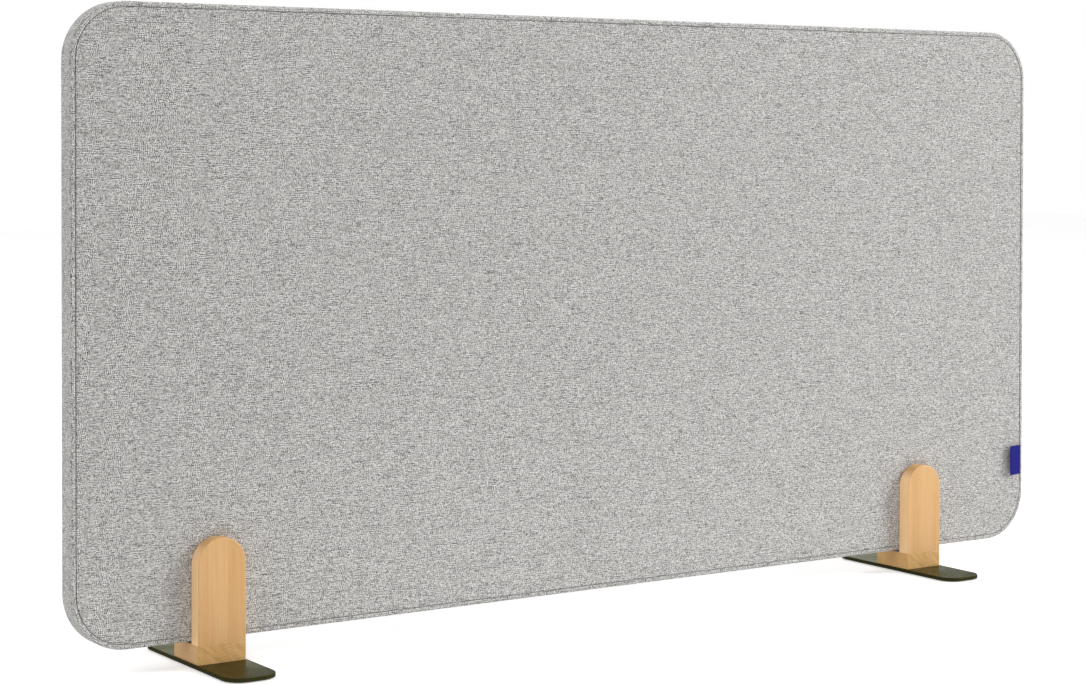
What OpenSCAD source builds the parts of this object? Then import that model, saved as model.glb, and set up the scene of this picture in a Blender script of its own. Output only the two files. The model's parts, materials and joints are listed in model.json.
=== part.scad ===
// Desk-top acoustic divider: a padded cloth panel that stands in two wooden brackets on steel plates.
// X runs along the screen, Y from its front (-Y) to its back, Z up from the desk.
// The origin is on the desk, under the middle of the screen.

/* [Screen] */
// Length of the padded screen
screen_len = 1200; // [900:10:1800]
// Height of the padded screen
screen_h = 600; // [350:10:900]
// Thickness of the screen over its cover
screen_t = 23; // [20:0.5:40]
// Radius of the screen's corners
corner_r = 55; // [50:1:90]

/* [Cover] */
// Thickness of the cloth
cover_t = 1; // [0.6:0.1:1.5]
// Rounding where the border strip turns onto each face
edge_r = 2.5; // [2:0.5:4.5]
// Distance from the screen's edge to the seam on each face
seam_inset = 5; // [5:0.5:12]
// Width of the groove that the seam draws into the cloth
seam_gap = 0.8; // [0.4:0.1:0.9]
// Thickness of the soft sheet under each face
padding_t = 2.5; // [1:0.5:4]

/* [Frame] */
// Width of the frame's rails and corner blocks
frame_w = 36; // [24:1:40]
// Clearance between the frame and the cover
frame_gap = 0.3; // [0.2:0.1:0.6]
// Clearance between the frame and the core board
core_gap = 0.2; // [0.1:0.1:0.6]
// Diameter of the frame's dowels
frame_dowel_d = 8; // [5:1:10]
// Length of the frame's dowels
frame_dowel_len = 30; // [20:2:36]

/* [Zip] */
// Distance from the corner's bend to each end of the zip
zip_end_gap = 5; // [2:1:40]
// Width of the zip across both tapes
zip_w = 12; // [11:0.5:14]
// Gap between the two tapes
zip_mouth = 1.2; // [1:0.1:1.6]
// Width of one row of the coil
coil_w = 2.2; // [1.5:0.1:2.4]
// Height of the coil above the tape
coil_t = 1.6; // [1:0.1:2]
// Length of the slider
slider_len = 10; // [8:1:14]
// Width of the slider
slider_w = 8; // [7:0.5:9]
// Thickness of the slider's inner and outer plates
slider_t = 1.2; // [0.8:0.1:1.2]
// Length of the neck that joins the slider's plates
neck_len = 4; // [3:0.5:6]
// Length of an end stop
stop_len = 3; // [2:0.5:4]
// Width of an end stop
stop_w = 5; // [3:0.5:6]
// Thickness of an end stop's inner and outer plates
stop_t = 0.6; // [0.4:0.1:1]
// Depth of the groove in the bottom rail that clears the zip
zip_groove_d = 4; // [3.9:0.1:6]

/* [Label tab] */
// Height of the folded tab
label_h = 34; // [20:1:50]
// How far the tab reaches from the seam
label_w = 22.5; // [10:0.5:30]
// Thickness of the folded tab
label_t = 0.6; // [0.4:0.1:0.8]
// Radius of the bend where it leaves the seam
label_bend_r = 2; // [1:0.5:4]
// Angle at which the tab stands off the face
label_lift_deg = 12; // [5:1:30]
// Height of the tab's middle above the screen's lower edge
label_up = 91; // [90:1:200]

/* [Brackets] */
// From the screen's left end to the middle of the left bracket
left_inset = 143.5; // [100:0.5:250]
// From the screen's right end to the middle of the right bracket
right_inset = 172; // [160:0.5:250]
// Width of the wooden parts
wood_w = 50; // [40:1:60]
// Thickness of each upright
upright_t = 15; // [12:0.5:20]
// Height of each upright above the block
upright_h = 100; // [70:1:140]
// Height of the block under the screen
block_h = 18; // [16:1:30]
// Rounding of the wood's edges
wood_edge_r = 1.5; // [0.5:0.5:3]
// Clearance on each side of the screen in its slot
slot_gap = 0.3; // [0.2:0.1:1]
// Thickness of the felt pad in the slot
slot_pad_t = 2; // [1:0.5:4]
// Distance from the slot pad's edge to the edge of the block
slot_pad_inset = 1.5; // [1:0.5:6]

/* [Base plates] */
// Length of a base plate, front to back
plate_len = 200; // [140:5:260]
// Width of a base plate
plate_w = 53; // [50:1:70]
// Thickness of a base plate
plate_t = 4; // [3:0.5:6]
// Radius of a base plate's corners
plate_corner_r = 20; // [8:1:24]
// Rounding of a base plate's rims
plate_edge_r = 0.8; // [0.3:0.1:1.2]
// Thickness of a foot pad
pad_t = 1; // [0.5:0.5:3]
// Length of a foot pad, front to back
pad_len = 44; // [20:1:50]
// Distance from a foot pad to the plate's edge
pad_inset = 5; // [3:1:10]

/* [Dowels and screws] */
// Diameter of an upright's dowels
dowel_d = 6; // [4:1:8]
// Length of an upright's dowels
dowel_len = 24; // [16:2:26]
// Distance between an upright's two dowels
dowel_pitch = 24; // [18:1:28]
// Clearance round each dowel
dowel_gap = 0.05; // [0.02:0.01:0.1]
// Depth left free at the end of each dowel hole
dowel_relief = 1; // [0.5:0.5:1.5]
// Distance between a plate's two screws
screw_pitch = 30; // [24:1:32]
// Diameter of a screw's shank
screw_d = 4; // [3:0.5:4.5]
// Diameter of a screw's head
screw_head_d = 8; // [7:0.5:9]
// Length of a screw
screw_len = 16; // [10:1:16]
// Clearance round a screw in the plate
screw_gap = 0.2; // [0.1:0.1:0.4]
// Width of one arm of the cross recess
recess_w = 0.9; // [0.6:0.1:1.2]
// Length across the cross recess
recess_len = 4; // [3:0.5:5]
// Depth of the cross recess
recess_d = 1.2; // [0.8:0.1:1.5]

/* [Hidden] */
$fn = 72;

// How far every cut runs past the solid that it cuts
overrun = 1;
// Clearance between the zip's slider and what it runs on
slide_gap = 0.3;
// How far the screw's head lies below the plate's underside
head_sink = 0.1;
// Steps along the tab's bend
bend_steps = 8;

// Heights above the desk
plate_z = pad_t;
block_z = plate_z + plate_t;
slot_z = block_z + block_h;
screen_z = slot_z + slot_pad_t;

// The screen's layers, outside to inside
frame_t = screen_t - 2 * (cover_t + padding_t);
frame_inset = cover_t + frame_gap;
frame_corner_r = corner_r - frame_inset;
frame_inner_r = frame_corner_r - frame_w;
rail_mid_inset = frame_inset + frame_w / 2;
run_len = screen_len - 2 * corner_r;
run_h = screen_h - 2 * corner_r;

// The seam's two sides, from the screen's edge
lip_inset = seam_inset - seam_gap / 2;
face_inset = seam_inset + seam_gap / 2;

// The zip, along the middle of the underside
zip_len = run_len - 2 * zip_end_gap;
tape_w = (zip_w - zip_mouth) / 2;
coil_len = zip_len - 2 * stop_len - 2 * slide_gap;
slider_x = zip_len / 2 - stop_len - slide_gap - slider_len / 2;
coil_z = screen_z + cover_t;
slider_top_z = coil_z + coil_t + slide_gap;
slider_base_z = screen_z - slide_gap - slider_t;

// The bracket's wood
slot_w = screen_t + 2 * slot_gap;
block_len = slot_w + 2 * upright_t;
upright_y = (slot_w + upright_t) / 2;

// A rectangle with round corners, centred
module round_rect(len, wide, r) {
    square([len - 2 * r, wide], center = true);
    square([len, wide - 2 * r], center = true);
    for (x = [-1, 1], y = [-1, 1])
        translate([x * (len / 2 - r), y * (wide / 2 - r)]) circle(r);
}

// A flat sheet with round corners, from z = 0 up
module sheet(len, wide, thick, r) {
    linear_extrude(thick) round_rect(len, wide, r);
}

// Half of a disc's section, with its two rims rounded by rim
module half_section(r, thick, rim) {
    intersection() {
        translate([0, thick / 2]) round_rect(2 * r, thick, rim);
        square([r, thick]);
    }
}

// A slab with round corners whose rims are rounded on both faces, from z = 0 up
module eased_slab(len, wide, thick, r, rim) {
    for (x = [-1, 1], y = [-1, 1])
        translate([x * (len / 2 - r), y * (wide / 2 - r), 0])
            rotate_extrude() half_section(r, thick, rim);
    translate([0, 0, thick / 2]) {
        rotate([90, 0, 90])
            linear_extrude(len - 2 * r, center = true) round_rect(wide, thick, rim);
        rotate([90, 0, 0])
            linear_extrude(wide - 2 * r, center = true) round_rect(len, thick, rim);
    }
}

// Stands what is drawn flat upright in the screen, its z = 0 at depth y behind the front face
module in_screen(y) {
    translate([0, y - screen_t / 2, screen_z + screen_h / 2]) rotate([90, 0, 0]) children();
}

// One cloth face, inside its seam
module cover_sheet() {
    sheet(screen_len - 2 * face_inset, screen_h - 2 * face_inset, cover_t, corner_r - face_inset);
}

module front_cover() {
    color("#b6b6b3") in_screen(cover_t) cover_sheet();
}

module rear_cover() {
    color("#b6b6b3") in_screen(screen_t) cover_sheet();
}

// The cloth strip round the edge, with its opening for the zip
module border_strip() {
    color("#a9a9a6") difference() {
        in_screen(screen_t) difference() {
            eased_slab(screen_len, screen_h, screen_t, corner_r, edge_r);
            translate([0, 0, cover_t])
                eased_slab(screen_len - 2 * cover_t, screen_h - 2 * cover_t,
                    screen_t - 2 * cover_t, corner_r - cover_t, edge_r - cover_t);
            translate([0, 0, -overrun])
                sheet(screen_len - 2 * lip_inset, screen_h - 2 * lip_inset,
                    screen_t + 2 * overrun, corner_r - lip_inset);
        }
        translate([-zip_len / 2, -zip_w / 2, screen_z - overrun])
            cube([zip_len, zip_w, cover_t + 2 * overrun]);
    }
}

// A soft sheet that fills the flat of the cover
module padding_sheet() {
    sheet(screen_len - 2 * edge_r, screen_h - 2 * edge_r, padding_t, corner_r - edge_r);
}

module front_padding() {
    color("#e4e2dc") in_screen(cover_t + padding_t) padding_sheet();
}

module rear_padding() {
    color("#e4e2dc") in_screen(screen_t - cover_t) padding_sheet();
}

// The fibre board inside the frame
module core_board() {
    inset = frame_inset + frame_w + core_gap;
    color("#d8d2c4") in_screen(screen_t - cover_t - padding_t)
        sheet(screen_len - 2 * inset, screen_h - 2 * inset, frame_t, frame_inner_r - core_gap);
}

// A dowel along X, or its hole when it is given a clearance and a relief at each end
module frame_dowel(gap = 0, relief = 0) {
    rotate([0, 90, 0])
        cylinder(h = frame_dowel_len + 2 * relief, d = frame_dowel_d + 2 * gap, center = true);
}

// A rail along X, of the length between two corner blocks, with a dowel hole in each end
module rail(len) {
    difference() {
        cube([len, frame_t, frame_w], center = true);
        for (end = [-1, 1])
            translate([end * len / 2, 0, 0]) frame_dowel(dowel_gap, dowel_relief);
    }
}

module top_rail() {
    color("#c9ad80") translate([0, 0, screen_z + screen_h - rail_mid_inset]) rail(run_len);
}

// The bottom rail has a groove for the zip
module bottom_rail() {
    color("#c9ad80") difference() {
        translate([0, 0, screen_z + rail_mid_inset]) rail(run_len);
        translate([0, 0, screen_z + frame_inset - overrun])
            linear_extrude(zip_groove_d + overrun)
                square([run_len + 2 * overrun, zip_w], center = true);
    }
}

module side_rail(side) {
    color("#c9ad80")
        translate([side * (screen_len / 2 - rail_mid_inset), 0, screen_z + screen_h / 2])
            rotate([0, 90, 0]) rail(run_h);
}

// A quarter ring of board in the corner at the side and level given as -1 or 1
module corner_block(side, level) {
    color("#bfa275")
        translate([side * run_len / 2, 0, screen_z + screen_h / 2 + level * run_h / 2])
            mirror([side < 0 ? 1 : 0, 0, 0]) mirror([0, 0, level < 0 ? 1 : 0])
                difference() {
                    rotate([90, 0, 0]) rotate_extrude(angle = 90)
                        translate([frame_inner_r, -frame_t / 2]) square([frame_w, frame_t]);
                    translate([0, 0, frame_inner_r + frame_w / 2])
                        frame_dowel(dowel_gap, dowel_relief);
                    translate([frame_inner_r + frame_w / 2, 0, 0])
                        rotate([0, 90, 0]) frame_dowel(dowel_gap, dowel_relief);
                }
}

// Two dowels at each corner, one to each rail
module frame_dowels() {
    color("#dcc79a") translate([0, 0, screen_z + screen_h / 2])
        for (side = [-1, 1], level = [-1, 1]) {
            translate([side * run_len / 2, 0, level * (screen_h / 2 - rail_mid_inset)])
                frame_dowel();
            translate([side * (screen_len / 2 - rail_mid_inset), 0, level * run_h / 2])
                rotate([0, 90, 0]) frame_dowel();
        }
}

// A box from z up, centred on x and y = 0
module bar(x, z, size) {
    translate([x - size[0] / 2, -size[1] / 2, z]) cube(size);
}

module zip_tapes() {
    color("#8f8f8c") for (side = [-1, 1])
        translate([0, side * (zip_mouth + tape_w) / 2, 0])
            bar(0, screen_z, [zip_len, tape_w, cover_t]);
}

module zip_coil() {
    color("#7d7d7a") for (side = [-1, 1])
        translate([0, side * (zip_mouth + coil_w) / 2, 0])
            bar(0, coil_z, [coil_len, coil_w, coil_t]);
}

// A clip through the gap at each end of the tapes
module zip_stops() {
    color("#9a9a98") for (side = [-1, 1]) {
        x = side * (zip_len - stop_len) / 2;
        bar(x, screen_z - stop_t, [stop_len, stop_w, stop_t]);
        bar(x, screen_z - stop_t, [stop_len, zip_mouth, cover_t + 2 * stop_t]);
        bar(x, coil_z, [stop_len, stop_w, stop_t]);
    }
}

// Two plates joined by a neck in the gap between the tapes
module zip_slider() {
    color("#a8a8a6") {
        bar(slider_x, slider_base_z, [slider_len, slider_w, slider_t]);
        bar(slider_x, slider_top_z, [slider_len, slider_w, slider_t]);
        bar(slider_x + (slider_len - neck_len) / 2, slider_base_z,
            [neck_len, zip_mouth - 2 * slide_gap, slider_top_z - slider_base_z + slider_t]);
    }
}

// The folded tab: out of the seam, round a bend, then along the face at its lift
module label_tab() {
    inner_r = label_bend_r - label_t / 2;
    outer_r = label_bend_r + label_t / 2;
    turn = 90 - label_lift_deg;
    reach = label_w - label_bend_r;
    along = [-cos(label_lift_deg), -sin(label_lift_deg)];
    function on_bend(r, a) = [r * cos(a) - label_bend_r, -r * sin(a)];
    outer = [for (i = [0:bend_steps]) on_bend(outer_r, turn * i / bend_steps)];
    inner = [for (i = [bend_steps:-1:0]) on_bend(inner_r, turn * i / bend_steps)];
    color("#2b2a86")
        translate([screen_len / 2 - seam_inset, -screen_t / 2, screen_z + label_up - label_h / 2])
            linear_extrude(label_h)
                polygon(concat([[label_t / 2, cover_t]], outer, [outer[bend_steps] + reach * along,
                    inner[0] + reach * along], inner, [[-label_t / 2, cover_t]]));
}

// The middle of each bracket, along the screen
function bracket_x(side) =
    side == "left" ? left_inset - screen_len / 2 : screen_len / 2 - right_inset;

module at_bracket(side) {
    translate([bracket_x(side), 0, 0]) children();
}

module base_plate() {
    color("#1c1c1a") difference() {
        translate([0, 0, plate_z]) eased_slab(plate_w, plate_len, plate_t, plate_corner_r, plate_edge_r);
        for (end = [-1, 1])
            translate([0, end * screw_pitch / 2, plate_z]) {
                translate([0, 0, -overrun])
                    cylinder(h = plate_t + 2 * overrun, d = screw_d + 2 * screw_gap);
                countersink(screw_gap);
            }
    }
}

// The cone of a screw's head from its wide end at z = 0, widened and run out below by gap
module countersink(gap = 0) {
    d = screw_head_d + 2 * gap;
    cylinder(h = (screw_head_d - screw_d) / 2, d1 = d, d2 = screw_d + 2 * gap);
    translate([0, 0, -gap]) cylinder(h = gap + head_sink, d = d);
}

module base_block() {
    color("#c4a06a") difference() {
        translate([0, 0, block_z])
            linear_extrude(block_h) round_rect(wood_w, block_len, wood_edge_r);
        for (x = [-1, 1], y = [-1, 1])
            translate([x * dowel_pitch / 2, y * upright_y, slot_z]) dowel(dowel_gap, dowel_relief);
        for (end = [-1, 1])
            translate([0, end * screw_pitch / 2, plate_z])
                cylinder(h = screw_len + dowel_relief, d = screw_d + 2 * dowel_gap);
    }
}

// A dowel along Z, or its hole
module dowel(gap = 0, relief = 0) {
    cylinder(h = dowel_len + 2 * relief, d = dowel_d + 2 * gap, center = true);
}

// An arch-topped board with eased edges, on the block
module upright(y) {
    straight = upright_h - wood_w / 2;
    color("#d8ae74") translate([0, y, slot_z]) difference() {
        union() {
            linear_extrude(straight) round_rect(wood_w, upright_t, wood_edge_r);
            translate([0, upright_t / 2, straight]) rotate([90, 0, 0])
                rotate_extrude() half_section(wood_w / 2, upright_t, wood_edge_r);
        }
        for (x = [-1, 1]) translate([x * dowel_pitch / 2, 0, 0]) dowel(dowel_gap, dowel_relief);
    }
}

module dowels() {
    color("#e2cfa4") for (x = [-1, 1], y = [-1, 1])
        translate([x * dowel_pitch / 2, y * upright_y, slot_z]) dowel();
}

// Countersunk wood screws up through the plate, with a cross recess
module screws() {
    color("#b4b4b0") for (end = [-1, 1])
        translate([0, end * screw_pitch / 2, plate_z + head_sink]) difference() {
            union() {
                cylinder(h = (screw_head_d - screw_d) / 2, d1 = screw_head_d, d2 = screw_d);
                cylinder(h = screw_len - head_sink, d = screw_d);
            }
            for (turn = [0, 90]) rotate([0, 0, turn])
                translate([-recess_len / 2, -recess_w / 2, -overrun])
                    cube([recess_len, recess_w, recess_d + overrun]);
        }
}

// Thin rubber pads under both ends of the plate
module foot_pads() {
    wide = plate_w - 2 * pad_inset;
    color("#2a2a28") for (end = [-1, 1])
        translate([0, end * (plate_len / 2 - pad_inset - pad_len / 2), 0])
            sheet(wide, pad_len, pad_t, plate_corner_r - pad_inset);
}

// Felt on the floor of the slot, under the screen
module slot_pad() {
    color("#5a5a58") bar(0, slot_z,
        [wood_w - 2 * slot_pad_inset, slot_w - 2 * slot_pad_inset, slot_pad_t]);
}

front_cover();
rear_cover();
border_strip();
label_tab();
front_padding();
rear_padding();
core_board();
top_rail();
bottom_rail();
side_rail(-1);  // left_rail
side_rail(1);  // right_rail
corner_block(-1, 1);  // top_left_corner
corner_block(1, 1);  // top_right_corner
corner_block(-1, -1);  // bottom_left_corner
corner_block(1, -1);  // bottom_right_corner
frame_dowels();
zip_tapes();
zip_coil();
zip_stops();
zip_slider();
for (side = ["left", "right"]) {
    at_bracket(side) base_plate();
    at_bracket(side) base_block();
    at_bracket(side) upright(-upright_y);
    at_bracket(side) upright(upright_y);
    at_bracket(side) dowels();
    at_bracket(side) screws();
    at_bracket(side) foot_pads();
    at_bracket(side) slot_pad();
}
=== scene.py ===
# Desk-top acoustic divider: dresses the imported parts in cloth, beech, steel and trim
import json
import math

import bpy
from mathutils import Matrix, Vector, noise

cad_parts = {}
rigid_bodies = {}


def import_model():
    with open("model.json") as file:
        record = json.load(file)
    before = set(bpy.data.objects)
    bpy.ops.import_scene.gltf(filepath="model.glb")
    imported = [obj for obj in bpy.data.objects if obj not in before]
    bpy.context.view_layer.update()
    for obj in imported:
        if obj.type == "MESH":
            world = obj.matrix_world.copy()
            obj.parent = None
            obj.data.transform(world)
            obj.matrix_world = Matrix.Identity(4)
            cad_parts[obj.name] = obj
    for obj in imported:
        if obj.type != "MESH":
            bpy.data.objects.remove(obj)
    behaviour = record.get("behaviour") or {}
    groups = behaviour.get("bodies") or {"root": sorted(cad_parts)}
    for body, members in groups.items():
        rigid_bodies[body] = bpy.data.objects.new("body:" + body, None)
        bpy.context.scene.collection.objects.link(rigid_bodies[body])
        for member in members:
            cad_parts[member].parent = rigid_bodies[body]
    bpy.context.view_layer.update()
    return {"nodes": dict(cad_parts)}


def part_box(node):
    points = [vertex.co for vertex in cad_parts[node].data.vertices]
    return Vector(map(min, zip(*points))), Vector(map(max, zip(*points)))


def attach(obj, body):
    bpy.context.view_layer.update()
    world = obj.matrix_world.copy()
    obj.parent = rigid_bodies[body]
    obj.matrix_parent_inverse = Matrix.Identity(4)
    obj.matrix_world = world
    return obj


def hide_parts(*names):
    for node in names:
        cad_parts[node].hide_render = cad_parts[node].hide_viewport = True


for leftOver in list(bpy.data.objects):
    bpy.data.objects.remove(leftOver)
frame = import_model()
scene = bpy.context.scene
nodes = frame["nodes"]
mm = 0.001

# The camera, matched to the screen's edges, the base plates and the uprights in the photograph
cameraLook = {
    "place": (-1.43445, -2.07510, 0.49934),
    "yaw": 34.913,  # degrees to the right of straight ahead
    "pitch": 0.951,  # degrees downward
    "roll": -0.110,
    "focal": 2387.3,  # pixels
    "middle": (616.7, 177.7),  # where the lens points, in pixels
    "frame": (1086, 684),
    "sensor": 36.0,
    "nearest": 0.05,
    "farthest": 200.0,
}


def makeCamera(look):
    yaw, pitch, roll = (math.radians(look[name]) for name in ("yaw", "pitch", "roll"))
    ahead = Vector((math.sin(yaw) * math.cos(pitch), math.cos(yaw) * math.cos(pitch), -math.sin(pitch)))
    level = Vector((math.cos(yaw), -math.sin(yaw), 0))
    down = ahead.cross(level)
    right = math.cos(roll) * level + math.sin(roll) * down
    up = math.sin(roll) * level - math.cos(roll) * down
    data = bpy.data.cameras.new("photoCamera")
    wide, high = look["frame"]
    data.sensor_width = look["sensor"]
    data.lens = look["focal"] / wide * look["sensor"]
    data.shift_x = (wide / 2 - look["middle"][0]) / wide
    data.shift_y = (look["middle"][1] - high / 2) / wide
    data.clip_start = look["nearest"]
    data.clip_end = look["farthest"]
    camera = bpy.data.objects.new("photoCamera", data)
    turn = Matrix((right, up, -ahead)).transposed()
    camera.matrix_world = Matrix.Translation(look["place"]) @ turn.to_4x4()
    scene.collection.objects.link(camera)
    scene.camera = camera


makeCamera(cameraLook)
print("camera: placed")


# Small helpers that keep the node trees readable
def shade(text):
    parts = [int(text[i:i + 2], 16) / 255 for i in (0, 2, 4)]
    return [c / 12.92 if c <= 0.04045 else ((c + 0.055) / 1.055) ** 2.4 for c in parts] + [1.0]


def feed(tree, inputs, values):
    for label, value in values.items():
        if isinstance(value, bpy.types.NodeSocket):
            tree.links.new(value, inputs[label])
        elif isinstance(value, str):
            inputs[label].default_value = shade(value)
        else:
            inputs[label].default_value = value


def put(tree, kind, values=None, settings=None):
    made = tree.nodes.new("ShaderNode" + kind)
    for name, value in (settings or {}).items():
        setattr(made, name, value)
    feed(tree, made.inputs, values or {})
    return made


def calc(tree, operation, *values, clamp=False):
    settings = {"operation": operation, "use_clamp": clamp}
    return put(tree, "Math", dict(enumerate(values)), settings).outputs[0]


def vectorCalc(tree, operation, *values):
    return put(tree, "VectorMath", dict(enumerate(values)), {"operation": operation}).outputs


def stretch(tree, value, low, high, toLow=0.0, toHigh=1.0, smooth=False):
    values = {"Value": value, "From Min": low, "From Max": high, "To Min": toLow, "To Max": toHigh}
    settings = {"interpolation_type": "SMOOTHSTEP" if smooth else "LINEAR"}
    return put(tree, "MapRange", values, settings).outputs[0]


# Noise mostly stays near one half, so this widens what lies within reach of it
def spread(tree, value, toLow=0.0, toHigh=1.0, reach=0.15):
    return stretch(tree, value, 0.5 - reach, 0.5 + reach, toLow, toHigh)


def mixColours(tree, share, first, second):
    return put(tree, "Mix", {0: share, 6: first, 7: second}, {"data_type": "RGBA"}).outputs[2]


def mixValues(tree, share, first, second):
    return put(tree, "Mix", {0: share, 2: first, 3: second}, {"data_type": "FLOAT"}).outputs[0]


def split(tree, vector):
    return put(tree, "SeparateXYZ", {"Vector": vector}).outputs


def join(tree, x=0.0, y=0.0, z=0.0):
    return put(tree, "CombineXYZ", {"X": x, "Y": y, "Z": z}).outputs[0]


def cloud(tree, vector, scale=1.0, detail=2.0, roughness=0.5):
    values = {"Vector": vector, "Scale": scale, "Detail": detail, "Roughness": roughness}
    return put(tree, "TexNoise", values).outputs["Fac"]


def bump(tree, height, distance, strength=1.0):
    values = {"Height": height, "Distance": distance, "Strength": strength}
    return put(tree, "Bump", values).outputs["Normal"]


def ownPlace(tree):
    return put(tree, "TexCoord").outputs["Object"]


def stored(tree, attribute, output):
    return put(tree, "Attribute", settings={"attribute_name": attribute}).outputs[output]


# How squarely the surface faces along one of the piece's axes: nothing at low, all at high
def squareTo(tree, axis, low, high, toHigh=1.0):
    turned = split(tree, put(tree, "TexCoord").outputs["Normal"])[axis]
    return stretch(tree, calc(tree, "ABSOLUTE", turned), low, high, 0, toHigh)


def startGroup(name, inputs, outputs):
    tree = bpy.data.node_groups.new(name, "ShaderNodeTree")
    kinds = {str: "NodeSocketColor", tuple: "NodeSocketVector", float: "NodeSocketFloat"}
    for label, start in inputs.items():
        socket = tree.interface.new_socket(name=label, in_out="INPUT", socket_type=kinds[type(start)])
        socket.default_value = shade(start) if isinstance(start, str) else start
    for label, kind in outputs.items():
        tree.interface.new_socket(name=label, in_out="OUTPUT", socket_type="NodeSocket" + kind)
    return tree, tree.nodes.new("NodeGroupInput").outputs, tree.nodes.new("NodeGroupOutput").inputs


def useGroup(tree, name, values):
    return put(tree, "Group", values, {"node_tree": bpy.data.node_groups[name]}).outputs


def startMaterial(name, values=None):
    material = bpy.data.materials.new(name)
    material.use_nodes = True
    tree = material.node_tree
    shader = tree.nodes["Principled BSDF"].inputs
    feed(tree, shader, values or {})
    return material, tree, shader


# In what follows, clouds are counted per metre
threadLook = {
    "wanderClouds": 45,
    "dip": 0.55,  # how high a thread still stands where it dives under
}


# Crossing threads: which one is on top, how high it stands, and the number of its row and column
def threadGridGroup(look):
    tree, given, out = startGroup(
        "threadGrid",
        {"Vector": (0.0, 0.0, 0.0), "Row Pitch": 1 * mm, "Column Pitch": 1 * mm, "Wander": 0.0},
        {"Relief": "Float", "Row On Top": "Float", "Row": "Float", "Column": "Float"})
    x, y, z = split(tree, given["Vector"])
    drift = calc(tree, "SUBTRACT", cloud(tree, given["Vector"], look["wanderClouds"], detail=1), 0.5)
    drift = calc(tree, "MULTIPLY", drift, given["Wander"])
    numbers, arches = [], []
    for place, pitch in ((x, "Column Pitch"), (y, "Row Pitch")):
        counted = calc(tree, "ADD", calc(tree, "DIVIDE", place, given[pitch]), drift)
        numbers.append(calc(tree, "FLOOR", counted))
        arches.append(calc(tree, "SINE", calc(tree, "MULTIPLY", calc(tree, "FRACT", counted), math.pi)))
    column, row = numbers
    columnArch, rowArch = arches
    top = calc(tree, "FLOORED_MODULO", calc(tree, "ADD", row, column), 2.0)
    rowRelief = calc(tree, "MULTIPLY", rowArch, stretch(tree, columnArch, 0, 1, look["dip"], 1))
    columnRelief = calc(tree, "MULTIPLY", columnArch, stretch(tree, rowArch, 0, 1, look["dip"], 1))
    relief = mixValues(tree, top, columnRelief, rowRelief)
    feed(tree, out, {"Relief": relief, "Row On Top": top, "Row": row, "Column": column})


yarnLook = {
    "wander": 0.25,  # in threads
    "weftClouds": 230,
    "warpClouds": 650,
    "spinReach": 0.17,
    "weftUnder": 0.27,  # the weft's share in the tone where it goes under the warp
    "weftOver": 0.9,
    "cellShare": 0.5,  # the share that changes from crossing to crossing
    "toneRange": 0.8,
    "ribClouds": (150, 240),  # patches in which every other row is darker, along and across it
    "combClouds": (190, 400),  # and every other column
    "slubClouds": 55,
    "slubRange": (0.58, 0.72),
    "fibreClouds": 5200,
    "fibreHeight": 0.25,  # of a thread's height
    "roughness": (0.82, 0.98),
    "weftSeed": 7.31,
    "warpSeed": 5.17,
    "slubSeed": 3.77,
    "streakSeed": 41.3,
}


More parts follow.
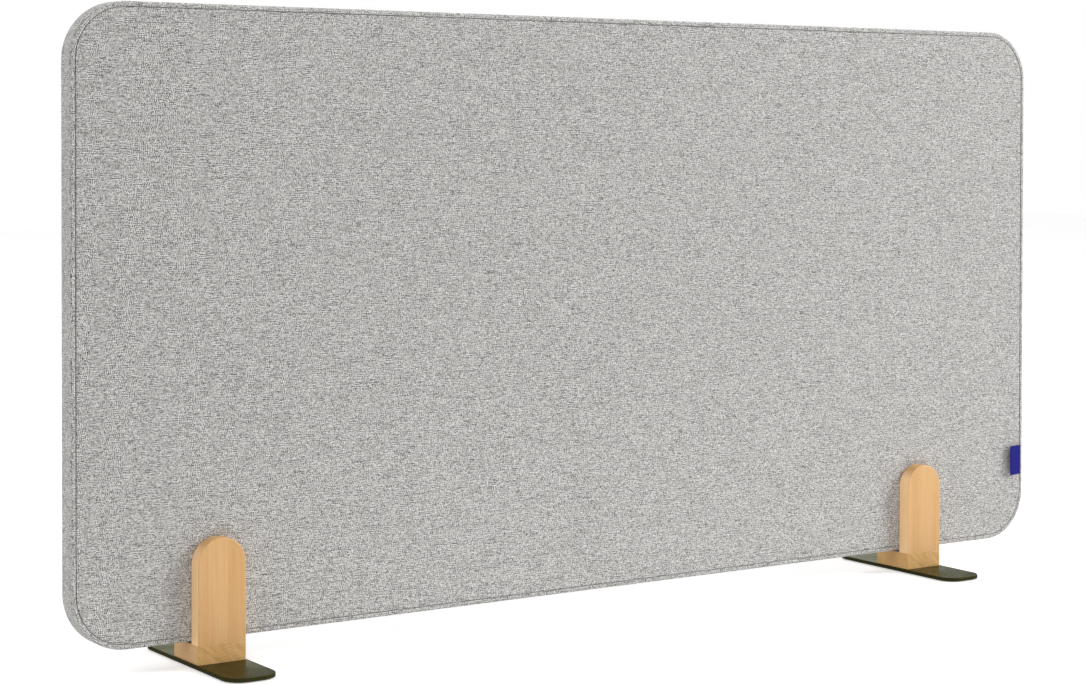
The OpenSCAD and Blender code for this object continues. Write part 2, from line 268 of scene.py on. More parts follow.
# Yarns spun from dark, mid and pale fibres: streaks along each thread, and warp that differs from weft
def melangeGroup(look):
    tree, given, out = startGroup(
        "melangeYarn",
        {"Vector": (0.0, 0.0, 0.0), "Row Pitch": 1 * mm, "Column Pitch": 1 * mm, "Dark": "5e5d5b",
         "Ground": "b4b3b1", "Pale": "e6e5e3", "Slubs": 0.5, "Contrast": 1.0, "Rib": 0.3, "Comb": 0.2,
         "Streaks": 0.1},
        {"Color": "Color", "Height": "Float", "Roughness": "Float"})
    grid = useGroup(tree, "threadGrid", {
        "Vector": given["Vector"], "Row Pitch": given["Row Pitch"], "Column Pitch": given["Column Pitch"],
        "Wander": look["wander"]})
    row, column = grid["Row"], grid["Column"]
    x, y, z = split(tree, given["Vector"])

    rowSeed = calc(tree, "MULTIPLY_ADD", row, look["weftSeed"], z)
    columnSeed = calc(tree, "MULTIPLY_ADD", column, look["warpSeed"], z)
    weft = join(tree, calc(tree, "MULTIPLY", x, look["weftClouds"]), rowSeed)
    weft = spread(tree, cloud(tree, weft, detail=3, roughness=0.75), reach=look["spinReach"])
    warp = join(tree, columnSeed, calc(tree, "MULTIPLY", y, look["warpClouds"]))
    warp = spread(tree, cloud(tree, warp, roughness=0.7), reach=look["spinReach"])
    over = stretch(tree, grid["Row On Top"], 0, 1, look["weftUnder"], look["weftOver"])
    cell = put(tree, "TexWhiteNoise", {"Vector": join(tree, column, row, z)}, {"noise_dimensions": "3D"})
    tone = mixValues(tree, look["cellShare"], mixValues(tree, over, warp, weft), cell.outputs["Value"])
    tone = calc(tree, "MULTIPLY_ADD", tone, look["toneRange"], -look["toneRange"] / 2)

    for counted, clouds, push in ((row, look["ribClouds"], "Rib"), (column, look["combClouds"], "Comb")):
        place = join(tree, calc(tree, "MULTIPLY", x, clouds[0]), calc(tree, "MULTIPLY", y, clouds[1]), z)
        turn = stretch(tree, calc(tree, "FLOORED_MODULO", counted, 2.0), 0, 1, -1, 1)
        field = calc(tree, "MULTIPLY", spread(tree, cloud(tree, place), -1, 1), turn)
        tone = calc(tree, "MULTIPLY_ADD", field, given[push], tone)
    along = calc(tree, "MULTIPLY", x, look["slubClouds"])
    streak = cloud(tree, join(tree, along, calc(tree, "ADD", rowSeed, look["streakSeed"])), detail=1)
    tone = calc(tree, "MULTIPLY_ADD", spread(tree, streak, -1, 1), given["Streaks"], tone)
    tone = calc(tree, "MULTIPLY_ADD", tone, given["Contrast"], 0.5, clamp=True)

    slub = cloud(tree, join(tree, along, calc(tree, "MULTIPLY_ADD", row, look["slubSeed"], z)))
    slub = calc(tree, "MULTIPLY", stretch(tree, slub, *look["slubRange"], smooth=True), given["Slubs"])
    tone = calc(tree, "MULTIPLY", tone, calc(tree, "SUBTRACT", 1.0, slub))
    lower = calc(tree, "MULTIPLY", tone, 2.0, clamp=True)
    upper = calc(tree, "MULTIPLY_ADD", tone, 2.0, -1.0, clamp=True)
    colour = mixColours(tree, lower, given["Dark"], given["Ground"])
    fibre = cloud(tree, given["Vector"], look["fibreClouds"])
    feed(tree, out, {
        "Color": mixColours(tree, upper, colour, given["Pale"]),
        "Height": calc(tree, "MULTIPLY_ADD", fibre, look["fibreHeight"], grid["Relief"]),
        "Roughness": spread(tree, fibre, *look["roughness"], reach=0.2)})


beechLook = {
    # each layer: length across the grain over length along it, clouds across, detail, roughness
    "sway": (0.5, 14, 2, 0.5),
    "broad": (0.05, 95, 3, 0.5),
    "lines": (0.012, 620, 3, 0.65),
    "fine": (0.03, 2600, 2, 0.6),
    "fleck": (0.16, 1900, 1, 0.5),
    "swayDepth": 3 * mm,
    "lineShare": 0.45,
    "fineShare": 0.16,
    "fleckRange": (0.66, 0.76),
    "roughness": (0.42, 0.56),
}
woodRelief = {"distance": 0.05 * mm, "strength": 0.6}


# Beech cut along the grain, which runs along the vector's Z
def beechGroup(look):
    tree, given, out = startGroup(
        "beechGrain",
        {"Vector": (0.0, 0.0, 0.0), "Pale": "e2bb85", "Warm": "d3a268", "Fleck": "a87442", "Flecks": 0.5},
        {"Color": "Color", "Height": "Float", "Roughness": "Float"})
    x, y, z = split(tree, given["Vector"])

    def layer(name):
        drawn, clouds, detail, roughness = look[name]
        return cloud(tree, join(tree, x, y, calc(tree, "MULTIPLY", z, drawn)), clouds, detail, roughness)

    x = calc(tree, "MULTIPLY_ADD", layer("sway"), look["swayDepth"], x)
    broad, lines, fine = layer("broad"), layer("lines"), layer("fine")
    tone = mixValues(tree, look["lineShare"], spread(tree, broad), spread(tree, lines))
    colour = mixColours(tree, tone, given["Pale"], given["Warm"])
    fleck = stretch(tree, layer("fleck"), *look["fleckRange"], smooth=True)
    fleck = calc(tree, "MULTIPLY", fleck, given["Flecks"])
    colour = mixColours(tree, fleck, colour, given["Fleck"])
    fineTone = calc(tree, "MULTIPLY", spread(tree, fine, reach=0.2), look["fineShare"])
    feed(tree, out, {
        "Color": mixColours(tree, fineTone, colour, given["Fleck"]),
        "Height": calc(tree, "MULTIPLY_ADD", fleck, -0.5, mixValues(tree, 0.5, lines, fine)),
        "Roughness": spread(tree, lines, *look["roughness"], reach=0.2)})


endGrainLook = {
    "rings": 310,  # year rings per metre
    "bend": 4 * mm,  # how far a ring strays from its circle
    "bendClouds": 60,
    "ringStart": 0.1,
    "ringShare": 0.28,
    "mottleClouds": 160,
    "mottleDrawn": 0.25,
    "poreClouds": 3200,
    "poreRange": (0.4, 0.7),
    "poreShare": 0.2,
}


# Beech cut across the grain: year rings about a heart below the piece, slanting mottle, and pores
def endGrainGroup(look):
    tree, given, out = startGroup(
        "beechEnd",
        {"Vector": (0.0, 0.0, 0.0), "Heart": (0.0, 0.0, 0.0), "Pale": "d8ae78", "Dark": "ab7f49"},
        {"Color": "Color", "Height": "Float"})
    x, y, z = split(tree, vectorCalc(tree, "SUBTRACT", given["Vector"], given["Heart"])["Vector"])
    far = vectorCalc(tree, "LENGTH", join(tree, x, 0.0, z))["Value"]
    far = calc(tree, "MULTIPLY_ADD", cloud(tree, given["Vector"], look["bendClouds"]), look["bend"], far)
    ring = calc(tree, "FRACT", calc(tree, "MULTIPLY", far, look["rings"]))
    ring = stretch(tree, ring, look["ringStart"], 1.0, smooth=True)
    rising = calc(tree, "MULTIPLY", calc(tree, "SUBTRACT", z, x), look["mottleDrawn"])
    mottle = join(tree, calc(tree, "ADD", x, z), y, rising)
    mottle = cloud(tree, mottle, look["mottleClouds"], detail=4, roughness=0.6)
    pores = cloud(tree, given["Vector"], look["poreClouds"], detail=1)
    tone = mixValues(tree, look["ringShare"], spread(tree, mottle, reach=0.14), ring)
    tone = mixValues(tree, look["poreShare"], tone, stretch(tree, pores, *look["poreRange"]))
    feed(tree, out, {"Color": mixColours(tree, tone, given["Pale"], given["Dark"]), "Height": pores})


# Where the surface turns sharply, in patches
def rubbedEdgeGroup():
    tree, given, out = startGroup(
        "rubbedEdge", {"Vector": (0.0, 0.0, 0.0), "Flat": 0.505, "Sharp": 0.53, "Patch": 220.0},
        {"Mask": "Float"})
    turn = put(tree, "NewGeometry").outputs["Pointiness"]
    edge = stretch(tree, turn, given["Flat"], given["Sharp"])
    patch = spread(tree, cloud(tree, given["Vector"], given["Patch"], detail=3))
    feed(tree, out, {"Mask": calc(tree, "MULTIPLY", edge, patch, clamp=True)})


# Fine grit, for powder coat, rubber, cast metal and felt
def gritGroup():
    tree, given, out = startGroup(
        "fineGrit", {"Vector": (0.0, 0.0, 0.0), "Size": 0.5 * mm}, {"Height": "Float", "Mask": "Float"})
    scale = calc(tree, "DIVIDE", 1.0, given["Size"])
    grit = cloud(tree, given["Vector"], scale, detail=3, roughness=0.6)
    feed(tree, out, {"Height": grit, "Mask": spread(tree, grit)})


threadGridGroup(threadLook)
melangeGroup(yarnLook)
beechGroup(beechLook)
endGrainGroup(endGrainLook)
rubbedEdgeGroup()
gritGroup()
print("finishes: shared groups built")

clothLook = {
    "weftPitch": 0.95 * mm,
    "warpPitch": 1.0 * mm,
    "dark": "2f2e2c",
    "ground": "c6c4c1",
    "pale": "fbf9f7",
    # the colour of the painted shade down in the seam's groove
    "groove": "201f1d",
    "seamDark": 1.0,  # how strongly the painted shade darkens the groove
    "slubs": 0.42,
    "contrast": 1.55,
    "rib": 0.14,
    "comb": 0.14,
    "streaks": 0.03,
    "threadHeight": 0.22 * mm,
    "sheen": 0.12,
    "sheenRoughness": 0.6,
    "gloss": 0.2,
}


def makeCloth(look):
    material, tree, shader = startMaterial("greyMelange", {
        "Sheen Weight": look["sheen"], "Sheen Roughness": look["sheenRoughness"],
        "Specular IOR Level": look["gloss"]})
    yarn = useGroup(tree, "melangeYarn", {
        "Vector": stored(tree, "weave", "Vector"), "Row Pitch": look["weftPitch"],
        "Column Pitch": look["warpPitch"], "Dark": look["dark"], "Ground": look["ground"],
        "Pale": look["pale"], "Slubs": look["slubs"], "Contrast": look["contrast"], "Rib": look["rib"],
        "Comb": look["comb"], "Streaks": look["streaks"]})
    # Painted shade: the cloth turns towards the groove colour down in the seam
    depth = calc(tree, "MULTIPLY", stored(tree, "grooveShadeAndTabEdge", "Fac"), look["seamDark"])
    feed(tree, shader, {
        "Base Color": mixColours(tree, depth, yarn["Color"], look["groove"]),
        "Roughness": yarn["Roughness"],
        "Normal": bump(tree, yarn["Height"], look["threadHeight"])})
    return material


cloth = makeCloth(clothLook)

# The screen's own measures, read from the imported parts
screenLow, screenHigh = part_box("border_strip")
screen = {
    "middle": (screenLow + screenHigh) / 2,
    "halfLong": (screenHigh.x - screenLow.x) / 2,
    "halfHigh": (screenHigh.z - screenLow.z) / 2,
    "halfThick": (screenHigh.y - screenLow.y) / 2,
    "corner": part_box("top_left_corner")[1].x - screenLow.x,
    "faceInset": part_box("front_cover")[0].x - screenLow.x,
}
seam = {
    "width": 0.8 * mm,
    "depth": 0.8 * mm,
    "roll": 0.7 * mm,  # how quickly the cover's edge rolls down into the seam
    "topEase": 0.2,  # how much less the seam pulls in along the top edge, which also lightens its painted shade
    "lowEase": 0.3,  # and along the bottom edge
    "shadeReach": 0.42 * mm,  # how far the painted shade of the groove climbs its sides
    "pucker": 0.10 * mm,
    "puckerLength": 7 * mm,
    "step": 2.5 * mm,  # distance between two stations along the edge
    "sparse": 4,  # a cover's middle keeps one station in this many
    "reach": 0.05 * mm,  # from the seam's middle to the cloth's edge, down in the groove
}
seamMiddle = screen["faceInset"] - seam["width"] / 2


# Stations round the screen's edge: a foot on the rectangle of corner centres, the way out from it, and
# the distance walked. Their number suits the sparse ones, which meet each corner's middle.
def walkOutline():
    long = screen["halfLong"] - screen["corner"]
    high = screen["halfHigh"] - screen["corner"]
    quarter = screen["corner"] * math.pi / 2
    sparse = seam["sparse"]
    turns = 2 * sparse * round(quarter / 2 / seam["step"] / sparse)
    stops = [(0.0, -high), (long, -high), (long, high), (-long, high), (-long, -high), (0.0, -high)]
    found = []
    walked = 0.0
    for side in range(5):
        start, end = Vector(stops[side]), Vector(stops[side + 1])
        facing = math.radians(90 * (side - 1))
        outX, outZ = math.cos(facing), math.sin(facing)
        run = (end - start).length
        halves = 1 if side in (0, 4) else 2
        steps = halves * sparse * round(run / halves / seam["step"] / sparse)
        for i in range(steps):
            foot = start.lerp(end, i / steps)
            found.append((foot.x, foot.y, outX, outZ, walked + run * i / steps))
        walked += run
        if side < 4:
            for i in range(turns):
                angle = facing + math.pi / 2 * i / turns
                found.append((end.x, end.y, math.cos(angle), math.sin(angle), walked + quarter * i / turns))
            walked += quarter
    return found, walked


stations, perimeter = walkOutline()


# How hard the seam pulls in at a station, which also scales the painted shade in its groove
def tightness(outZ):
    return 1 - (seam["topEase"] if outZ > 0 else seam["lowEase"]) * outZ ** 2


def pucker(walked, seed):
    return noise.noise(Vector((walked / seam["puckerLength"], seed, 0.0)))


def addPiece(name, points, faces, body, material, weave, grooveShadeAndTabEdge, thick):
    mesh = bpy.data.meshes.new(name)
    mesh.from_pydata(points, [], faces)
    mesh.polygons.foreach_set("use_smooth", [True] * len(mesh.polygons))
    store = mesh.attributes.new("weave", "FLOAT_VECTOR", "POINT")
    store.data.foreach_set("vector", [c for point in weave for c in point])
    # painted shade in the cloth's seams, and the tab's darker top and bottom edges
    store = mesh.attributes.new("grooveShadeAndTabEdge", "FLOAT", "POINT")
    store.data.foreach_set("value", grooveShadeAndTabEdge)
    mesh.materials.append(material)
    piece = bpy.data.objects.new(name, mesh)
    scene.collection.objects.link(piece)
    solid = piece.modifiers.new("clothThickness", "SOLIDIFY")
    solid.thickness = thick
    solid.offset = -1
    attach(piece, body)
    return piece


coverLook = {
    "closeRings": (0.0, 0.2, 0.5, 0.9, 1.5, 2.3, 3.5, 5.5, 9),  # mm from the seam
    "wideRings": (15, 24, 35),
    "unevenness": 0.12 * mm,
    "waves": 9,  # of that unevenness, per metre
    "thickness": 0.7 * mm,
    "frontSeed": 0.37,
    "rearSeed": 4.91,
}


# Faces between two rings, of which the inner one may have fewer points
def joinRings(outer, inner):
    ratio = len(outer) // len(inner)
    faces = []
    for i in range(len(inner)):
        edge = [outer[k % len(outer)] for k in range(i * ratio, (i + 1) * ratio + 1)]
        faces.append(edge + [inner[(i + 1) % len(inner)], inner[i]])
    return faces


# Faces inside a ring: a grid between the four points where its corners are halfway round
def fillRing(ring, corners, spots, addPoint):
    a, b, c, d = corners
    twice = ring + ring
    right, top = twice[a:b + 1], twice[b:c + 1][::-1]
    left, bottom = twice[c:d + 1][::-1], twice[d:a + len(ring) + 1]
    wide, high = len(bottom) - 1, len(right) - 1
    columns = []
    for i in range(wide + 1):
        column = [bottom[i]]
        for j in range(1, high):
            if i in (0, wide):
                column.append(right[j] if i else left[j])
                continue
            u, v = i / wide, j / high
            spot = spots[bottom[i]].lerp(spots[top[i]], v) + spots[left[j]].lerp(spots[right[j]], u)
            lower = spots[bottom[0]].lerp(spots[bottom[-1]], u)
            upper = spots[top[0]].lerp(spots[top[-1]], u)
            column.append(addPoint(spot - lower.lerp(upper, v)))
        columns.append(column + [top[i]])
    return [[columns[i][j], columns[i + 1][j], columns[i + 1][j + 1], columns[i][j + 1]]
            for i in range(wide) for j in range(high)]


# One cloth face: rings that follow the outline, and a grid in the middle
def makeCover(name, node, look, facing, seed):
    middle = screen["middle"]
    widest = look["wideRings"][-1]
    points, spots, grooveShadeAndTabEdge, faces = [], [], [], []

    def addPoint(spot, ring=widest, tight=0.0, gather=0.0):
        fall = math.exp(-ring * mm / seam["roll"])
        wave = noise.noise(Vector((spot.x * look["waves"], spot.y * look["waves"], seed)))
        sink = fall * (seam["depth"] * tight ** 2 + gather)
        sink += look["unevenness"] * (0.5 + 0.5 * wave * min(1.0, ring / widest)) * (1 - fall)
        depth = facing * (screen["halfThick"] - sink)
        points.append((middle.x + spot.x, middle.y + depth, middle.z + spot.y))
        spots.append(spot)
        # painted shade, strongest down in the seam and fading up the cloth
        grooveShadeAndTabEdge.append(tight * math.exp(-(ring * mm / seam["shadeReach"]) ** 2))
        return len(points) - 1

    outer = None
    for ring in look["closeRings"] + look["wideRings"]:
        close = ring in look["closeRings"]
        radius = screen["corner"] - seamMiddle - seam["reach"] - ring * mm
        inner = []
        for footX, footZ, outX, outZ, walked in (stations if close else stations[::seam["sparse"]]):
            spot = Vector((footX + outX * radius, footZ + outZ * radius))
            inner.append(addPoint(spot, ring, tightness(outZ), seam["pucker"] * pucker(walked, seed)))
        if outer:
            faces += joinRings(outer, inner)
        outer = inner
    corners = [i for i, (footX, footZ, outX, outZ, walked) in enumerate(stations[::seam["sparse"]])
               if math.isclose(abs(outX), abs(outZ))]
    faces += fillRing(outer, corners, spots, addPoint)
    if facing > 0:
        faces = [face[::-1] for face in faces]
    weave = [(spot.x, spot.y, seed) for spot in spots]
    piece = addPiece(name, points, faces, "panel", cloth, weave, grooveShadeAndTabEdge, look["thickness"])
    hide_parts(node)


makeCover("frontCloth", "front_cover", coverLook, -1, coverLook["frontSeed"])
makeCover("rearCloth", "rear_cover", coverLook, 1, coverLook["rearSeed"])
print("cloth: covers made, perimeter", round(perimeter, 3))

borderLook = {
    "edgeRadius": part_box("front_padding")[0].x - screenLow.x,
    "edgeSteps": 8,
    "sideSteps": 6,
    "lipWidth": 0.55 * mm,  # from the seam to the crest of the strip's lip
    "lipSteps": 4,
    "lipCurve": 2.2,
    "sideHollow": 0.15 * mm,
    "thickness": 0.7 * mm,
    "grooveStart": 0.4,  # where on the lip the painted shade of the groove begins
    "grooveCurve": 1.5,
    "frontSeed": 2.2,
    "rearSeed": 8.8,
    "weaveSeed": 2.6,
}


# The strip's section from the front seam round to the flat side, as inset and depth below the face
def halfSection(look):
    start = seamMiddle - seam["reach"]
    radius = look["edgeRadius"]
    section = []
    for i in range(look["lipSteps"]):
        share = i / look["lipSteps"]
        section.append((start - share * look["lipWidth"], seam["depth"] * (1 - share) ** look["lipCurve"]))
    for i in range(look["edgeSteps"] + 1):
        angle = math.pi / 2 * i / look["edgeSteps"]
        section.append((radius * (1 - math.sin(angle)), radius * (1 - math.cos(angle))))
    return section


# The strip round the edge, open underneath where the zip's tapes show
def makeBorder(name, node, look):
    middle = screen["middle"]
    zipLow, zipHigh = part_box("zip_tapes")
    half = halfSection(look)
    deepest = 2 * screen["halfThick"]
    flatStart, flatEnd = half[-1][1], deepest - half[-1][1]
    marks = [flatStart, zipLow.y - screenLow.y, zipHigh.y - screenLow.y, flatEnd]
    section = list(half)
    markPlaces = []
    for begin, end in zip(marks, marks[1:]):
        steps = max(1, round((end - begin) / (flatEnd - flatStart) * look["sideSteps"]))
        section += [(0.0, begin + (end - begin) * i / steps) for i in range(1, steps + 1)]
        markPlaces.append(len(section) - 1)
    openFrom, openTo = markPlaces[:2]
    section = section[:-1] + [(inset, deepest - depth) for inset, depth in half[::-1]]
    across = [0.0]
    for a, b in zip(section, section[1:]):
        across.append(across[-1] + math.dist(a, b))

    ring = stations + [stations[0][:4] + (perimeter,)]
    count, lips = len(section), look["lipSteps"]
    points, weave, grooveShadeAndTabEdge = [], [], []
    for footX, footZ, outX, outZ, walked in ring:
        tight = tightness(outZ)
        for i, (inset, depth) in enumerate(section):
            end = min(i, count - 1 - i)
            front = i == end
            if end < lips:
                eased = tight ** 2
                depth = depth * eased if front else deepest - (deepest - depth) * eased
            near = max(0.0, 1 - end / lips)
            wave = pucker(walked, look["frontSeed" if front else "rearSeed"])
            swell = seam["pucker"] * near * (1 - near) * 4 * wave
            depth += swell if front else -swell
            flat = (depth - flatStart) / (flatEnd - flatStart) if inset == 0.0 else 0.0
            radius = screen["corner"] - inset - look["sideHollow"] * max(0.0, math.sin(math.pi * flat))
            points.append((middle.x + footX + outX * radius, screenLow.y + depth,
                           middle.z + footZ + outZ * radius))
            weave.append((walked, across[i], look["weaveSeed"]))
            # painted shade on the lip where it falls into the seam
            down = max(0.0, (near - look["grooveStart"]) / (1 - look["grooveStart"]))
            grooveShadeAndTabEdge.append(tight * down ** look["grooveCurve"])
    faces = []
    for i in range(len(ring) - 1):
        for j in range(count - 1):
            low, high = i * count + j, (i + 1) * count + j
            x = (points[low][0] + points[high][0]) / 2
            below = points[low][2] < middle.z
            if not (below and openFrom <= j < openTo and zipLow.x < x < zipHigh.x):
                faces.append((low, low + 1, high + 1, high))
    piece = addPiece(name, points, faces, "panel", cloth, weave, grooveShadeAndTabEdge, look["thickness"])
    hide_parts(node)


makeBorder("borderCloth", "border_strip", borderLook)
print("cloth: border made")

tabLook = {
    "tape": 0.22 * mm,  # thickness of one layer of the ribbon
    "fold": 0.19 * mm,  # radius of the fold at the free edge
    "bend": 2.0 * mm,
    "lift": 12.0,  # degrees off the face
    "rootInset": 0.3 * mm,
    "rootDepth": 0.8 * mm,
    "bendSteps": 8,
    "legSteps": 6,
    "foldSteps": 6,
    "rows": 24,
    "blue": "312f9e",
    "deep": "201f7a",
    "gloss": 0.06,
    "rowPitch": 0.28 * mm,
    "columnPitch": 0.4 * mm,
    "wander": 0.3,
    "toneClouds": 900,
    "threadShade": 0.35,
    "threadHeight": 0.08 * mm,
    "roughness": (0.8, 0.6),  # between the threads and on them
    "edgeShade": 0.8,
    "weaveSeed": 1.0,
}


def makeRibbon(look):
    material, tree, shader = startMaterial("wovenRibbon", {"Specular IOR Level": look["gloss"]})
    place = stored(tree, "weave", "Vector")
    relief = useGroup(tree, "threadGrid", {
        "Vector": place, "Row Pitch": look["rowPitch"], "Column Pitch": look["columnPitch"],
        "Wander": look["wander"]})["Relief"]
    tone = spread(tree, cloud(tree, place, look["toneClouds"], detail=3), reach=0.2)
    colour = mixColours(tree, tone, look["blue"], look["deep"])
    colour = mixColours(tree, calc(tree, "MULTIPLY", relief, look["threadShade"]), look["deep"], colour)
    feed(tree, shader, {
        "Base Color": mixColours(tree, stored(tree, "grooveShadeAndTabEdge", "Fac"), colour, look["deep"]),
        "Roughness": stretch(tree, relief, 0, 1, *look["roughness"]),
        "Normal": bump(tree, relief, look["threadHeight"])})
    return material


# A ribbon that comes out of the seam, bends along the face, folds at its free edge and goes back
def makeTab(name, node, look):
    low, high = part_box(node)
    root = Vector((high.x - look["rootInset"], screenLow.y))
    lift = math.radians(look["lift"])
    step = Vector((-math.cos(lift), -math.sin(lift)))
    bend, apart = look["bend"], look["fold"]
    straight = (root.x - low.x - bend) / math.cos(lift) - 2 * apart
    line = []
    for side in (1, -1):
        radius = bend + side * apart
        leg = [Vector((root.x + side * apart, root.y + look["rootDepth"]))]
        for i in range(look["bendSteps"] + 1):
            angle = (math.pi / 2 - lift) * i / look["bendSteps"]
            leg.append(Vector((root.x - bend + radius * math.cos(angle), root.y - radius * math.sin(angle))))
        leg += [leg[-1] + step * straight * i / look["legSteps"] for i in range(1, look["legSteps"] + 1)]
        line += leg if side > 0 else leg[::-1]
        if side > 0:
            out = leg[-1]
            turn = out + Vector((-math.sin(lift), math.cos(lift))) * apart
            for i in range(1, look["foldSteps"]):
                angle = math.pi * i / look["foldSteps"]
                line.append(turn + step * math.sin(angle) * apart + (out - turn) * math.cos(angle))
    walked = [0.0]
    for a, b in zip(line, line[1:]):
        walked.append(walked[-1] + (b - a).length)

    rows = look["rows"]
    points, weave, grooveShadeAndTabEdge = [], [], []
    for place, along in zip(line, walked):
        for j in range(rows + 1):
            share = j / rows
            z = low.z + (high.z - low.z) * share
            points.append((place.x, place.y, z))
            weave.append((along, z, look["weaveSeed"]))
            grooveShadeAndTabEdge.append(max(0.0, 1 - min(share, 1 - share) * rows) * look["edgeShade"])
    faces = []
    for i in range(len(line) - 1):
        for j in range(rows):
            a = i * (rows + 1) + j
            b = a + rows + 1
            faces.append((a, b, b + 1, a + 1))
    piece = addPiece(name, points, faces, "panel", makeRibbon(look), weave, grooveShadeAndTabEdge, look["tape"])
    piece.modifiers["clothThickness"].offset = 0
    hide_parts(node)


makeTab("labelTab", "label_tab", tabLook)
print("tab: made")

woodLook = {
    "pale": "e4b87e",
    "warm": "d6a263",
    "fleck": "b07a45",
    "flecks": 0.4,
    "paintedSideLight": "ffd39f",  # painted side light: a paler colour over the two narrow sides, which also hides most flecks there
    "sideLightShare": 0.92,
    "sideLightTurn": (0.6, 0.9),
    "coat": 0.15,
    "coatRoughness": 0.35,
    "rearShift": 0.21,  # where in the wood each upright is cut
    "rightShift": 0.47,
}
frameWoodLook = {
    "pale": "d9bd8f",
    "warm": "c6a473",
    "fleck": "a07c4e",
    "flecks": 0.3,
    "paintedSideLight": "d9bd8f",
    "sideLightShare": 0.0,
    "sideLightTurn": (0.6, 0.9),
    "coat": 0.0,
    "coatRoughness": 0.35,
    "shift": (0.3, 0.1, 0.0),
}


def makeBeech(name, look, shift):
    material, tree, shader = startMaterial(name, {
        "Coat Weight": look["coat"], "Coat Roughness": look["coatRoughness"]})
    grain = useGroup(tree, "beechGrain", {
        "Vector": vectorCalc(tree, "ADD", ownPlace(tree), shift)["Vector"], "Pale": look["pale"],
        "Warm": look["warm"], "Fleck": look["fleck"], "Flecks": look["flecks"]})
    # Painted light: the sides facing along X turn paler, as if lit from the side
    paintedSideLight = squareTo(tree, 0, *look["sideLightTurn"], look["sideLightShare"])
    feed(tree, shader, {
        "Base Color": mixColours(tree, paintedSideLight, grain["Color"], look["paintedSideLight"]),
        "Roughness": grain["Roughness"],
        "Normal": bump(tree, grain["Height"], **woodRelief)})
    return material


blockLook = {
    "pale": "dcae6c",
    "warm": "cc9b57",
    "fleck": "a06f3f",
    "flecks": 0.4,
    "endPale": "e7ba79",
    "endDark": "c2924f",
    "endRoughness": 0.62,
    "endTurn": (0.6, 0.8),
    "coat": 0.12,
    "coatRoughness": 0.4,
    "heart": (18 * mm, 0.0, -46 * mm),  # the year rings' middle, from the block's own middle
}


# The block's grain runs front to back, so its front and rear show end grain
def makeBlock(name, look, middle):
    material, tree, shader = startMaterial(name, {
        "Coat Weight": look["coat"], "Coat Roughness": look["coatRoughness"]})
    place = ownPlace(tree)
    x, y, z = split(tree, place)
    grain = useGroup(tree, "beechGrain", {
        "Vector": join(tree, x, z, y), "Pale": look["pale"], "Warm": look["warm"],
        "Fleck": look["fleck"], "Flecks": look["flecks"]})
    end = useGroup(tree, "beechEnd", {
        "Vector": place, "Heart": middle + Vector(look["heart"]), "Pale": look["endPale"],
        "Dark": look["endDark"]})
    share = squareTo(tree, 1, *look["endTurn"])
    height = mixValues(tree, share, grain["Height"], end["Height"])
    feed(tree, shader, {
        "Base Color": mixColours(tree, share, grain["Color"], end["Color"]),
        "Roughness": mixValues(tree, share, grain["Roughness"], look["endRoughness"]),
        "Normal": bump(tree, height, **woodRelief)})
    return material


steelLook = {
    "coat": "302e16",
    "worn": "5c5a40",
    "wornShare": 0.2,
    "wornPatch": 300.0,
    "grit": 0.9 * mm,
    "gritHeight": 0.008 * mm,
    "smudgeClouds": 38,
    "roughness": (0.2, 0.32),
    "roughCut": 0.7,  # on the cut edges
    "topTurn": (0.4, 0.9),
    "metal": 0.6,
    "bending": 1.32,  # of light, in the coat
    "gleam": "c2c4a2",
}


def makeBlackSteel(look):
    material, tree, shader = startMaterial("blackSteel", {
        "Metallic": look["metal"], "IOR": look["bending"], "Specular Tint": look["gleam"]})
    place = ownPlace(tree)
    grit = useGroup(tree, "fineGrit", {"Vector": place, "Size": look["grit"]})
    edge = useGroup(tree, "rubbedEdge", {"Vector": place, "Patch": look["wornPatch"]})["Mask"]
    worn = calc(tree, "MULTIPLY", edge, look["wornShare"])
    smudge = cloud(tree, place, look["smudgeClouds"], detail=3)
    satin = spread(tree, smudge, *look["roughness"], reach=0.2)
    top = squareTo(tree, 2, *look["topTurn"])
    feed(tree, shader, {
        "Base Color": mixColours(tree, worn, look["coat"], look["worn"]),
        "Roughness": mixValues(tree, top, look["roughCut"], satin),
        "Normal": bump(tree, grit["Height"], look["gritHeight"])})
    return material


# Matt or satin stuff with a grain of its own
grittyLooks = {
    "feltedPadding": {"base": "e4e2dc", "dark": "c4c1b8", "size": 1.2 * mm, "height": 0.2 * mm,
                      "roughness": (0.9, 1.0)},
    "zincScrew": {"base": "b8b8b4", "dark": "8d8d88", "size": 0.3 * mm, "height": 0.01 * mm,
                  "roughness": (0.25, 0.4), "metal": 1.0},
    "zipMetal": {"base": "a8a8a6", "dark": "82827e", "size": 0.3 * mm, "height": 0.01 * mm,
                 "roughness": (0.3, 0.45), "metal": 1.0},
    "padRubber": {"base": "2e2e2b", "dark": "1d1d1b", "size": 0.4 * mm, "height": 0.03 * mm,
                  "roughness": (0.75, 0.9)},
    "slotFelt": {"base": "5f5f5c", "dark": "3c3c3a", "size": 0.5 * mm, "height": 0.15 * mm,
                 "roughness": (0.95, 1.0), "sheen": 0.3},
}


def makeGritty(name):
    look = grittyLooks[name]
    material, tree, shader = startMaterial(name, {
        "Metallic": look.get("metal", 0.0), "Sheen Weight": look.get("sheen", 0.0)})
    grit = useGroup(tree, "fineGrit", {"Vector": ownPlace(tree), "Size": look["size"]})
    feed(tree, shader, {
        "Base Color": mixColours(tree, grit["Mask"], look["dark"], look["base"]),
        "Roughness": stretch(tree, grit["Mask"], 0, 1, *look["roughness"]),
        "Normal": bump(tree, grit["Height"], look["height"])})
    return material


